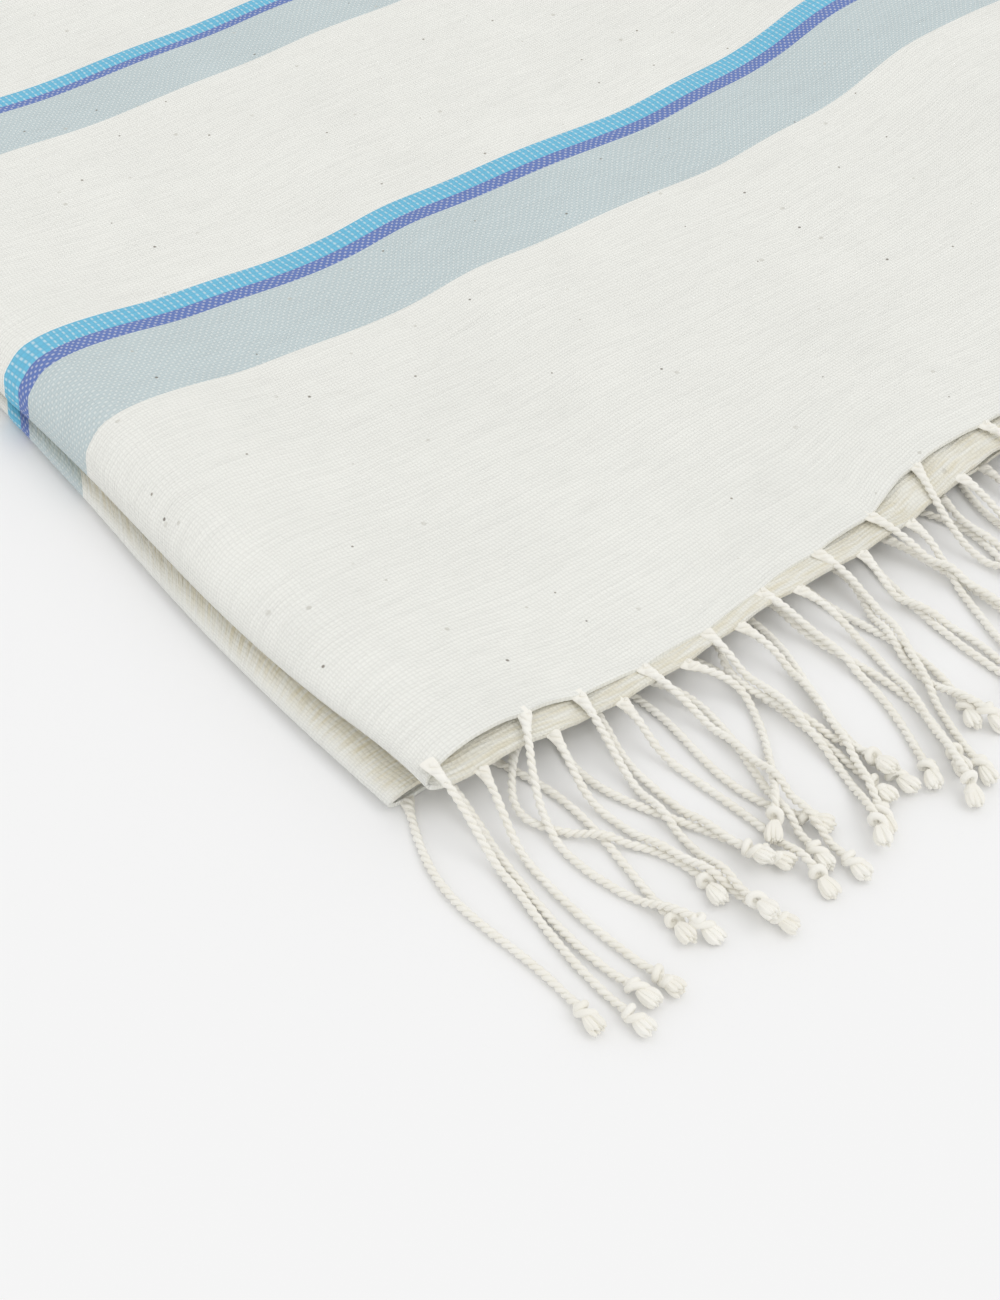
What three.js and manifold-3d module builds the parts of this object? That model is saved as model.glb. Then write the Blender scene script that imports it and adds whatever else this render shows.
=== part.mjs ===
// A hand-woven cotton bath mat with a fringe of knotted cords on both ends, folded in quarters as it is stored.
//
// The mat is one cloth, woven in bands: cream fields, with two groups of sage, indigo and turquoise weft towards
// each end. It is folded once along its length, which makes each half two leaves joined by a round fold at the left,
// and once across, which lays the upper half on the lower half with the two woven ends together at the front. Four
// leaves lie in the pile, and each carries its own fringe. They are counted from the floor up.
//
// Units are millimetres, +Z is up, +X runs along the hems to the selvedges, and +Y from the hems to the fold across.
// The origin is on the floor, under the middle of the folded cloth.
import * as THREE from "three";
import { mergeVertices } from "three/addons/utils/BufferGeometryUtils.js";
import Module from "manifold-3d";

// The mat laid flat, without its fringe, and the thickness of the cloth.
const MAT_WIDTH = 600;
const MAT_LENGTH = 900;
const CLOTH = 1.1;

// The folded pile. The upper half is laid a little to the right of the lower one, and its hem is a little further
// forward. It is loftier at the fold along the mat, where the cloth springs, than in the middle.
const PILE_WIDTH = MAT_WIDTH / 2;
const PILE_LENGTH = MAT_LENGTH / 2;
const LEFT = -PILE_WIDTH / 2;
const GAP = 0.3; // between pieces that touch
const SLIP_ASIDE = 2; // of each half from the pile's middle
const SLIP_ALONG = 2; // of each hem from its even place
const LOWER_TOP = 5.4;
const UPPER_BOTTOM = LOWER_TOP + GAP;
const UPPER_TOP_AT_FOLD = 13;
const UPPER_TOP = 9.6;
const FOLD_RUN = 5; // the width of the round fold
const LOFT_RUN = 60; // the width over which the loft at the fold dies away
const LOFT_STEPS = 6;

const LOWER = {
  name: "lower",
  left: LEFT - SLIP_ASIDE,
  hem: -PILE_LENGTH / 2 + SLIP_ALONG,
  bottom: 0,
  topAtFold: LOWER_TOP,
  top: LOWER_TOP,
};
const UPPER = {
  name: "upper",
  left: LEFT + SLIP_ASIDE,
  hem: -PILE_LENGTH / 2 - SLIP_ALONG,
  bottom: UPPER_BOTTOM,
  topAtFold: UPPER_TOP_AT_FOLD,
  top: UPPER_TOP,
};

// The fringe: twisted cords, each ending in a knot and a short tuft, which are one club here.
const CORDS_PER_LEAF = 18;
const CORDS_PER_PIECE = 2;
const CORD_PITCH = PILE_WIDTH / CORDS_PER_LEAF;
const CORD_RADIUS = 1.1;
const CORD_SIDES = 6;
const CORD_STEPS = 10;
const CORD_DROP = 24; // the distance in which a cord comes down from its hem
const HEADER = 2; // the last picks of the hem, which hold the cord roots
const CLUB_RADIUS = 1.9;
const REST_HEIGHT = 0.15; // the air under a cord on the floor
const CORD_AIR = 0.75; // the least air between two crossing cords
const STEEPEST_CLIMB = 0.45; // of a cord up to another that it crosses, as rise over run
const STEEPEST_FALL = 0.65;
const TRACK_STEPS = 27; // places along a cord where its height is settled

// How each cord lies, as [root, end, bow, wave, reach] in millimetres: how far its root and its end are shifted
// along the hem from its even place, its sideways bow in one curve, its sway in two, and its reach from the hem.
const FLOOR_LEAF_LIE = [
  [-6, -12, -6, -2, 65], [-4, -3, 4, 1, 61], [-5, 7, -4, -2, 60], [-5, 3, -2, 2, 58], [-6, -1, 4, 0, 61],
  [-5, -12, -3, 2, 62], [-6, -8, 3, -2, 58], [-5, -8, -4, 0, 64], [-6, -2, 3, 3, 60], [-5, -5, -4, -2, 65],
  [-6, -3, 3, 1, 59], [-5, -8, 4, -2, 63], [-6, -4, -3, 0, 66], [-5, -5, 3, 2, 60], [-6, -1, -3, -3, 64],
  [-5, -8, 4, 1, 61], [-6, -3, -4, 2, 63], [-5, 1, 3, -2, 65],
];
const SECOND_LEAF_LIE = [
  [1, 0, -3, 1, 67], [0, 7, -4, -6, 58], [2, 3, -3, 0, 58], [-1, -5, 4, 2, 65], [1, 3, -3, -2, 57],
  [0, -2, 4, -2, 65], [1, -3, -4, 2, 62], [-1, 3, 4, 0, 59], [1, -6, 3, -3, 66], [-1, 2, -4, 2, 61],
  [1, -7, 4, 3, 65], [1, 5, -4, 0, 58], [0, -1, 5, -2, 62], [1, 6, -3, 2, 66], [-1, -6, 4, -2, 59],
  [1, 5, -5, 1, 64], [0, 1, 5, -3, 67], [1, 5, -4, 2, 58],
];
const THIRD_LEAF_LIE = [
  [6, 5, -4, 0, 64], [6, 14, -2, -1, 67], [6, 8, 1, -1, 66], [6, -10, 8, 1, 50], [5, -7, 3, 1, 62],
  [5, -6, 4, 1, 68], [6, 1, 4, -3, 61], [4, -3, -3, 2, 66], [5, 5, 4, -1, 59], [6, -3, -4, 2, 64],
  [5, 6, -4, 1, 68], [6, -3, 3, 2, 57], [5, 4, 4, -3, 65], [5, -2, -3, 2, 62], [6, 6, -3, 1, 67],
  [5, -5, 4, -2, 60], [6, 3, 4, 3, 65], [5, -4, -4, 0, 62],
];
const TOP_LEAF_LIE = [
  [-3, -5, -1, 1, 67], [3, 2, -10, -1, 60], [-1, -6, -2, 0, 64], [-2, -1, 3, 1, 67], [-2, -11, 3, -1, 64],
  [-2, -9, 5, 0, 60], [-2, -16, 1, 2, 66], [-3, 8, 4, 1, 62], [-2, 11, -3, -2, 63], [2, 8, 4, 2, 66],
  [-2, 2, -4, 2, 63], [-2, 8, 4, -3, 67], [-2, 9, -5, 1, 61], [2, 2, 3, 2, 66], [-2, 2, 5, -2, 62],
  [-2, 9, -4, 2, 67], [1, 10, -5, -1, 60], [-2, 9, 4, 1, 66],
];

// Bands of weft from the hem to the fold across, and how far each one runs.
const CREAM = "cream";
const SAGE = "sage";
const INDIGO = "indigo";
const TURQUOISE = "turquoise";
const BANDS = [
  ["hem_field", CREAM, 116],
  ["wide_sage_band", SAGE, 24],
  ["wide_indigo_band", INDIGO, 4],
  ["wide_turquoise_band", TURQUOISE, 6],
  ["middle_field", CREAM, 76],
  ["narrow_sage_band", SAGE, 17.5],
  ["narrow_indigo_band", INDIGO, 2.6],
  ["narrow_turquoise_band", TURQUOISE, 4.6],
];
const STRIPED_LENGTH = BANDS.reduce((sum, [, , length]) => sum + length, 0);
const COTTON = { roughness: 0.95, metalness: 0 };
const FINISHES = {
  [CREAM]: new THREE.MeshStandardMaterial({ color: 0xe7e6df, ...COTTON }),
  [SAGE]: new THREE.MeshStandardMaterial({ color: 0xbecacc, ...COTTON }),
  [INDIGO]: new THREE.MeshStandardMaterial({ color: 0x6b80b8, ...COTTON }),
  [TURQUOISE]: new THREE.MeshStandardMaterial({ color: 0x72bddb, ...COTTON }),
};
const CORD_FINISH = new THREE.MeshStandardMaterial({ color: 0xe6e3d9, ...COTTON });

const wasm = await Module();
wasm.setup();

function named(name, geometry, material) {
  const mesh = new THREE.Mesh(geometry, material);
  mesh.name = name;
  return mesh;
}

// A closed geometry as a solid that can be joined.
function solidOf(geometry) {
  const bare = new THREE.BufferGeometry();
  bare.setAttribute("position", geometry.getAttribute("position"));
  bare.setIndex(geometry.index);
  const merged = mergeVertices(bare, 1e-4);
  return new wasm.Manifold(
    new wasm.Mesh({
      numProp: 3,
      vertProperties: merged.attributes.position.array,
      triVerts: new Uint32Array(merged.index.array),
    }),
  );
}

// A joined solid as a geometry.
function geometryOf(solid) {
  const mesh = solid.getMesh();
  const geometry = new THREE.BufferGeometry();
  geometry.setAttribute("position", new THREE.BufferAttribute(mesh.vertProperties, 3));
  geometry.setIndex(new THREE.BufferAttribute(mesh.triVerts, 1));
  return geometry;
}

// The height of a half's top surface at x.
function topHeight(half, x) {
  const fall = THREE.MathUtils.smoothstep(x, half.left + FOLD_RUN, half.left + FOLD_RUN + LOFT_RUN);
  return THREE.MathUtils.lerp(half.topAtFold, half.top, fall);
}

// The section of one half across its width: two leaves joined by a round fold at the left.
function foldedSection(half) {
  const turn = half.left + FOLD_RUN;
  const right = half.left + PILE_WIDTH;
  const rise = (half.topAtFold - half.bottom) / 2;
  const middle = half.bottom + rise;
  const loft = [];
  for (let step = 0; step <= LOFT_STEPS; step += 1) loft.push(turn + (LOFT_RUN * step) / LOFT_STEPS);
  const section = new THREE.Shape();
  section.moveTo(right, half.bottom);
  section.lineTo(right, half.bottom + CLOTH);
  section.lineTo(turn, half.bottom + CLOTH);
  section.absellipse(turn, middle, FOLD_RUN - CLOTH, rise - CLOTH, -Math.PI / 2, -1.5 * Math.PI, true);
  for (const x of [...loft.slice(1), right]) section.lineTo(x, topHeight(half, x) - CLOTH);
  for (const x of [right, ...loft.reverse()]) section.lineTo(x, topHeight(half, x));
  section.absellipse(turn, middle, FOLD_RUN, rise, Math.PI / 2, 1.5 * Math.PI, false);
  return section;
}

// One band of weft across one half.
function bandGeometry(half, start, length) {
  const geometry = new THREE.ExtrudeGeometry(foldedSection(half), {
    depth: length - GAP,
    bevelEnabled: false,
    curveSegments: 4,
  });
  return geometry.rotateX(Math.PI / 2).translate(0, half.hem + start + length - GAP / 2, 0);
}

// The radius of a cord, where 0 along it is its root and 1 its end. The club takes the last step.
function cordRadius(along) {
  return along > 1 - 1.6 / CORD_STEPS ? CLUB_RADIUS : CORD_RADIUS;
}

// The places along one cord where its height is settled, before it meets any other.
function cordTrack(leaf, index) {
  const [root, end, bow, wave, reach] = leaf.lie[index];
  const evenPlace = LEFT + CORD_PITCH * (index + 0.5);
  const rootHeight = leaf.rootHeight(evenPlace + root);
  const track = [];
  for (let step = 0; step <= TRACK_STEPS; step += 1) {
    const along = step / TRACK_STEPS;
    const shift = THREE.MathUtils.lerp(root, end, along ** 2);
    const sway = bow * Math.sin(Math.PI * along) + wave * Math.sin(2 * Math.PI * along);
    const fall = THREE.MathUtils.smoothstep(reach * along, 0, CORD_DROP);
    const radius = cordRadius(along);
    track.push({
      x: evenPlace + shift + sway,
      y: leaf.half.hem - (GAP + HEADER) / 2 - (reach - HEADER) * along,
      z: THREE.MathUtils.lerp(rootHeight, radius + REST_HEIGHT, fall),
      radius,
    });
  }
  return track;
}

// Lays a cord on the ones that are down already: where it crosses one, it rides over it in a long low hump.
function settle(track, laid) {
  for (const place of track.slice(2)) {
    for (const under of laid) {
      const apart = place.radius + under.radius + CORD_AIR;
      const away = Math.hypot(place.x - under.x, place.y - under.y);
      if (away < apart) place.z = Math.max(place.z, under.z + Math.sqrt(apart ** 2 - away ** 2));
    }
  }
  const run = track[0].y - track[1].y;
  for (let step = 1; step < track.length; step += 1) {
    track[step].z = Math.max(track[step].z, track[step - 1].z - run * STEEPEST_FALL);
  }
  for (let step = track.length - 2; step > 1; step -= 1) {
    track[step].z = Math.max(track[step].z, track[step + 1].z - run * STEEPEST_CLIMB);
  }
  laid.push(...track);
}

// One cord, swollen into its club at the end.
function cordGeometry(track) {
  const section = new THREE.Shape();
  for (let side = 0; side < CORD_SIDES; side += 1) {
    const angle = (2 * Math.PI * side) / CORD_SIDES;
    const corner = [CORD_RADIUS * Math.cos(angle), CORD_RADIUS * Math.sin(angle)];
    if (side === 0) section.moveTo(...corner);
    else section.lineTo(...corner);
  }
  const middle = new THREE.CatmullRomCurve3(track.map(({ x, y, z }) => new THREE.Vector3(x, y, z)));
  const cord = new THREE.ExtrudeGeometry(section, {
    steps: CORD_STEPS,
    bevelEnabled: false,
    extrudePath: middle,
  });
  const places = cord.getAttribute("position");
  const corner = new THREE.Vector3();
  for (const centre of [middle.getPointAt(1), middle.getPointAt(1 - 1 / CORD_STEPS)]) {
    for (let index = 0; index < places.count; index += 1) {
      corner.fromBufferAttribute(places, index);
      if (Math.abs(corner.distanceTo(centre) - CORD_RADIUS) > 0.01) continue;
      corner.sub(centre).setLength(CLUB_RADIUS).add(centre);
      places.setXYZ(index, corner.x, corner.y, corner.z);
    }
  }
  return cord;
}

// A short stretch of hem with the cords that leave it, in one piece.
function fringePiece(leaf, tracks, first) {
  const left = Math.max(LEFT + CORD_PITCH * first + GAP / 2, leaf.half.left + FOLD_RUN / 2);
  const right = Math.min(LEFT + CORD_PITCH * (first + CORDS_PER_PIECE) - GAP / 2, leaf.half.left + PILE_WIDTH);
  const middle = (left + right) / 2;
  const header = new THREE.BoxGeometry(right - left, HEADER, CLOTH);
  header.translate(middle, leaf.half.hem - (GAP + HEADER) / 2, leaf.bottom(middle) + CLOTH / 2);
  let piece = solidOf(header);
  for (const track of tracks) piece = piece.add(solidOf(cordGeometry(track)));
  return geometryOf(piece);
}

function fringe(leaf, laid) {
  const group = new THREE.Group();
  const tracks = [];
  for (let index = 0; index < CORDS_PER_LEAF; index += 1) {
    const track = cordTrack(leaf, index);
    settle(track, laid);
    tracks.push(track);
  }
  for (let first = 0; first < CORDS_PER_LEAF; first += CORDS_PER_PIECE) {
    const piece = fringePiece(leaf, tracks.slice(first, first + CORDS_PER_PIECE), first);
    group.add(named(`${leaf.name}_cords_${first / CORDS_PER_PIECE + 1}`, piece, CORD_FINISH));
  }
  return group;
}

// The cloth of one half of the folded mat, as its bands of weft.
function clothOf(half) {
  const group = new THREE.Group();
  const centreField = ["centre_field", CREAM, PILE_LENGTH / 2 - half.hem - STRIPED_LENGTH];
  let start = 0;
  for (const [band, weft, length] of [...BANDS, centreField]) {
    group.add(named(`${half.name}_${band}`, bandGeometry(half, start, length), FINISHES[weft]));
    start += length;
  }
  return group;
}

const LEAVES = [
  {
    name: "floor_leaf",
    half: LOWER,
    lie: FLOOR_LEAF_LIE,
    bottom: () => 0,
    rootHeight: () => CORD_RADIUS + REST_HEIGHT,
  },
  {
    name: "second_leaf",
    half: LOWER,
    lie: SECOND_LEAF_LIE,
    bottom: () => LOWER_TOP - CLOTH,
    rootHeight: () => LOWER_TOP - CORD_RADIUS,
  },
  {
    name: "third_leaf",
    half: UPPER,
    lie: THIRD_LEAF_LIE,
    bottom: () => UPPER_BOTTOM,
    rootHeight: () => UPPER_BOTTOM + CORD_RADIUS,
  },
  {
    name: "top_leaf",
    half: UPPER,
    lie: TOP_LEAF_LIE,
    bottom: (x) => topHeight(UPPER, x) - CLOTH,
    rootHeight: (x) => topHeight(UPPER, x) - CORD_RADIUS,
  },
];

const mat = new THREE.Group();
mat.add(clothOf(LOWER), clothOf(UPPER));
const laid = [];
for (const leaf of LEAVES) mat.add(fringe(leaf, laid));

export default mat;
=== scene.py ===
"""A hand-woven cotton bath mat with a fringe of knotted cords on both ends, folded in quarters for storage.

The mat is one cloth. It is folded once along its length, which makes each half two leaves joined by a
round fold at the left, and once across, which lays the upper half on the lower one. The four leaves are
counted from the floor up, and each carries its own fringe. Lengths are in millimetres until a mesh is made.
"""

import logging
import math
from dataclasses import dataclass
from enum import Enum

import bpy
import numpy as np
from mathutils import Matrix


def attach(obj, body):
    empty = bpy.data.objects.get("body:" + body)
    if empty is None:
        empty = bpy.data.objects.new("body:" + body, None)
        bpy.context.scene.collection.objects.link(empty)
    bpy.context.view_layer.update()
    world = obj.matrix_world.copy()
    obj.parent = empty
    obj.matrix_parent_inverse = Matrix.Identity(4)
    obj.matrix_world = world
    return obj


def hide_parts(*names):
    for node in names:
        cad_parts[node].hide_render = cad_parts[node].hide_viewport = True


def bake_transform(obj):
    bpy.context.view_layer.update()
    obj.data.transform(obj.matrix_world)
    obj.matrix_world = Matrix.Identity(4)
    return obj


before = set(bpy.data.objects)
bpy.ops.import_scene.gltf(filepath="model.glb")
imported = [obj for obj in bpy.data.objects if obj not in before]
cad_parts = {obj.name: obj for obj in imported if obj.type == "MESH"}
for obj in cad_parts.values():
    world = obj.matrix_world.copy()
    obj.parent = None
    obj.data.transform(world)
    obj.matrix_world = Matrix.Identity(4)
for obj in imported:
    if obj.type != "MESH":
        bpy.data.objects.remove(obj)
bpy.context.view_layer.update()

LOG = logging.getLogger("bath_mat")
MM = 0.001
TURN = 2 * math.pi

MAT_WIDTH = 600.0
MAT_LENGTH = 900.0
PILE_WIDTH = MAT_WIDTH / 2
PILE_LEFT = -PILE_WIDTH / 2
CLOTH = 1.0  # the thickness of the cloth
THIRD_LEAF_LEAST = 6.25  # its middle stays above this, and so above the passing
ABOVE_FLOOR = 0.03  # the air under yarn that lies on the floor
SHARP = math.radians(50)  # a mesh edge sharper than this isn't shaded smooth

Body = tuple[np.ndarray, list[tuple[int, ...]], np.ndarray]  # points, faces and a vector for each point
Stations = tuple[tuple[float, float], ...]  # pairs of place and value
Socket = bpy.types.NodeSocket
Tree = bpy.types.NodeTree


# -------------------------------------------------------------------------------------------------- helpers


def smoothstep(value: np.ndarray, low: float, high: float) -> np.ndarray:
    """Eases from 0 to 1.

    Args:
        value: The numbers to ease.
        low: Where the result is 0.
        high: Where the result is 1.

    Returns:
        The eased numbers.
    """
    share = np.clip((np.asarray(value, float) - low) / (high - low), 0.0, 1.0)
    return share * share * (3 - 2 * share)


def through(stations: Stations, at: np.ndarray) -> np.ndarray:
    """Reads a smooth line that runs through a few stations.

    Args:
        stations: Its stations, in order of place.
        at: The places to read. Past either end, the end's value holds.

    Returns:
        The line's values.
    """
    places, values = (np.array(column, float) for column in zip(*stations))
    slopes = np.gradient(values, places)
    at = np.clip(np.asarray(at, float), places[0], places[-1])
    index = np.clip(np.searchsorted(places, at) - 1, 0, len(places) - 2)
    step = places[index + 1] - places[index]
    share = (at - places[index]) / step
    left = 1 - share
    low = (1 + 2 * share) * left**2 * values[index] + share * left**2 * step * slopes[index]
    high = share**2 * (3 - 2 * share) * values[index + 1] - share**2 * left * step * slopes[index + 1]
    return low + high


def unit(vectors: np.ndarray) -> np.ndarray:
    """Scales vectors to length 1, along the last axis."""
    return vectors / np.maximum(np.linalg.norm(vectors, axis=-1, keepdims=True), 1e-9)


def ripple(phase: np.ndarray) -> np.ndarray:
    """Goes from 0 to 1 and back as a wave does."""
    return 0.5 + 0.5 * np.sin(phase)


def hump(distance: np.ndarray, reach: float) -> np.ndarray:
    """Falls from 1 at no distance, softly, to next to nothing at twice the reach."""
    return np.exp(-((distance / reach) ** 2))


def distances(line: np.ndarray) -> np.ndarray:
    """Measures how far along a line each of its points lies."""
    return np.concatenate([[0], np.cumsum(np.linalg.norm(np.diff(line, axis=0), axis=1))])


def read(line: np.ndarray, at: np.ndarray) -> np.ndarray:
    """Reads the points of a line at distances along it."""
    lengths = distances(line)
    return np.stack([np.interp(at, lengths, line[:, axis]) for axis in range(3)], axis=-1)


def linear(srgb: str) -> tuple[float, float, float, float]:
    """Turns an sRGB hex colour into the linear colour that a shader takes.

    Args:
        srgb: Six hex digits, with or without a leading #.

    Returns:
        Red, green, blue and alpha.
    """
    digits = srgb.lstrip("#")
    parts = [int(digits[place : place + 2], 16) / 255 for place in (0, 2, 4)]
    red, green, blue = (
        part / 12.92 if part <= 0.04045 else ((part + 0.055) / 1.055) ** 2.4 for part in parts
    )
    return red, green, blue, 1.0


def add_node(tree: Tree, kind: str, inputs: dict | None = None, **settings: object) -> bpy.types.Node:
    """Adds a shader node.

    Args:
        tree: The node tree it goes in.
        kind: The node's type, such as ShaderNodeMath.
        inputs: For a socket's name or number, a value, or another node's output to link to it.
        **settings: The node's own properties.

    Returns:
        The node.
    """
    node = tree.nodes.new(kind)
    for name, setting in settings.items():
        setattr(node, name, setting)
    for name, given in (inputs or {}).items():
        if isinstance(given, Socket):
            tree.links.new(given, node.inputs[name])
        else:
            node.inputs[name].default_value = given
    return node


def blank_material(name: str) -> bpy.types.Material:
    """Makes a material whose node tree is empty."""
    material = bpy.data.materials.new(name)
    material.use_nodes = True
    material.node_tree.nodes.clear()
    return material


# ------------------------------------------------------------------------------------------------- finishes


@dataclass(frozen=True)
class Fleck:
    """Bits that hand-spun cotton keeps: seed husk, which is small, brown and far apart, or soft grey neps.

    They are drawn as round spots, each in its own cell of a scattered grid, and lengths are real ones.
    """

    spacing: float  # the size of the cell that may hold one
    least: float  # the smallest radius
    most: float
    share: float  # of the cells that hold one
    dark: str
    light: str
    strength: float

    def over(self, tree: Tree, cloth: Socket, colour: Socket) -> Socket:
        """Scatters the flecks over a colour.

        Args:
            tree: The material's node tree.
            cloth: The place on the flat mat.
            colour: The colour below them.

        Returns:
            The colour with flecks.
        """
        cells = add_node(
            tree, "ShaderNodeTexVoronoi", {"Vector": cloth, "Scale": 1 / self.spacing, "Randomness": 1.0},
            voronoi_dimensions="2D",
        )
        chance = add_node(tree, "ShaderNodeSeparateXYZ", {0: cells.outputs["Color"]})
        radius = add_node(
            tree,
            "ShaderNodeMapRange",
            {
                "Value": chance.outputs["Z"],
                "To Min": self.least / self.spacing,
                "To Max": self.most / self.spacing,
            },
        ).outputs["Result"]
        nearness = add_node(
            tree, "ShaderNodeMath", {0: cells.outputs["Distance"], 1: radius}, operation="DIVIDE"
        ).outputs[0]
        inside = add_node(
            tree,
            "ShaderNodeMapRange",
            {"Value": nearness, "From Min": 1.0, "From Max": 0.55, "To Max": self.strength},
        ).outputs["Result"]
        holds = add_node(
            tree, "ShaderNodeMath", {0: chance.outputs["X"], 1: self.share}, operation="LESS_THAN"
        ).outputs[0]
        shown = add_node(tree, "ShaderNodeMath", {0: inside, 1: holds}, operation="MULTIPLY").outputs[0]
        tone = add_node(
            tree,
            "ShaderNodeMix",
            {"Factor": chance.outputs["Y"], "A": linear(self.dark), "B": linear(self.light)},
            data_type="RGBA",
        ).outputs["Result"]
        return add_node(
            tree, "ShaderNodeMix", {"Factor": shown, "A": colour, "B": tone}, data_type="RGBA"
        ).outputs["Result"]


SEED_HUSK = Fleck(
    spacing=22.0, least=0.22, most=0.48, share=0.5, dark="54483D", light="8F8778", strength=0.8
)
NEPS = Fleck(spacing=19.0, least=0.3, most=0.75, share=0.45, dark="B4B0A3", light="CFCDC4", strength=0.45)


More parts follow.
